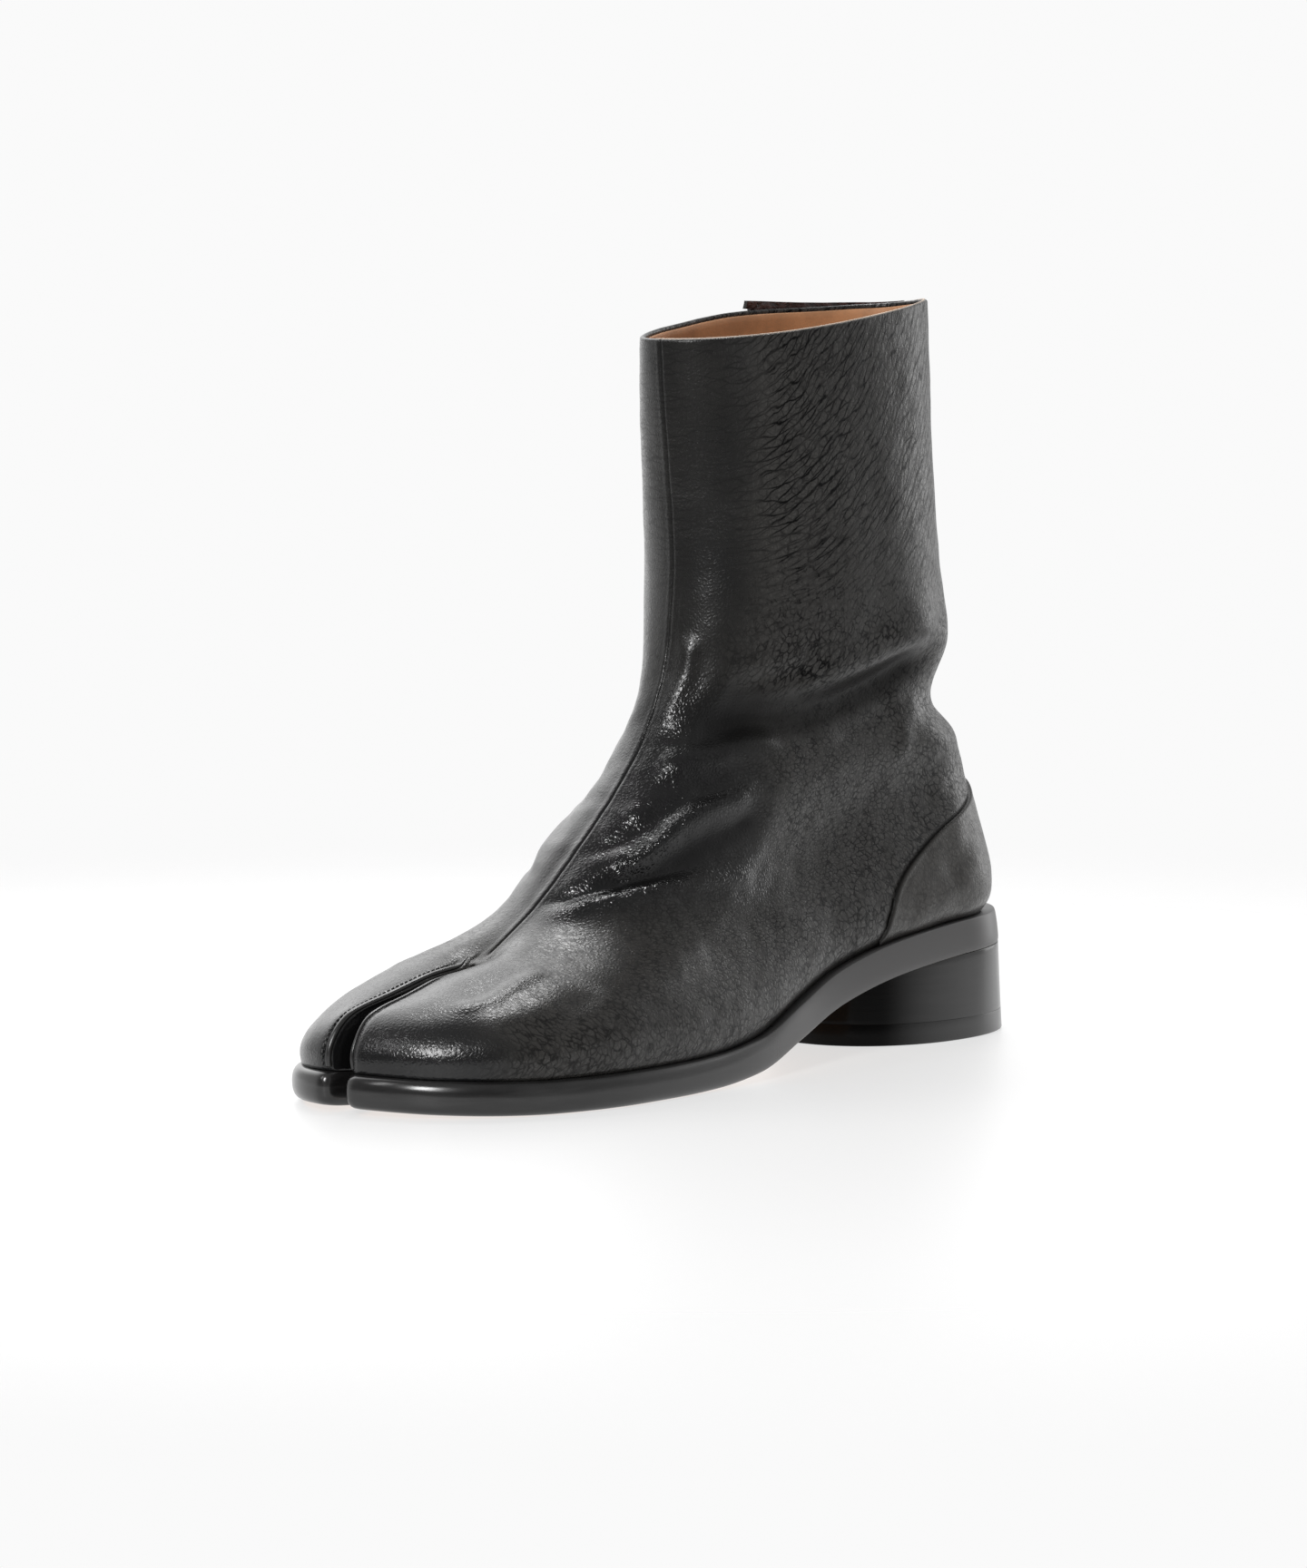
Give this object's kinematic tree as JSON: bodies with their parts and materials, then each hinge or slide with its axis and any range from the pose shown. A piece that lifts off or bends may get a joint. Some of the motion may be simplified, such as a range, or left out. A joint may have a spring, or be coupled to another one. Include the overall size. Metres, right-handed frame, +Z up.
{
  "type": "ankle boot",
  "caption": "Left split-toe ankle boot with a stitched cleft between big toe and other toes, straight shaft with side-back flap, leather sole and oval block heel.",
  "frame": {"origin": "middle of the bounding box in plan, on the floor plane", "axes": "+Z up, toe towards -Y, heel towards +Y, outer (lateral) side of the left foot towards +X"},
  "size_m": [0.0946, 0.2802, 0.2249],
  "materials": {
    "upper_leather": "black semi-gloss grained leather",
    "overlay_leather": "black semi-gloss grained leather, folded edge",
    "sole_edge": "leather sole, edge dyed black and polished",
    "heel_stack": "stacked leather heel, dyed black and polished",
    "top_piece": "black rubber, satin",
    "sock_leather": "natural tan lining leather"
  },
  "bodies": {
    "root": {"upper": "upper_leather", "heel_counter": "overlay_leather", "closure_flap": "overlay_leather", "outsole": "sole_edge", "heel_block": "heel_stack", "heel_top_piece": "top_piece", "insole": "sock_leather"}
  },
  "joints": []
}
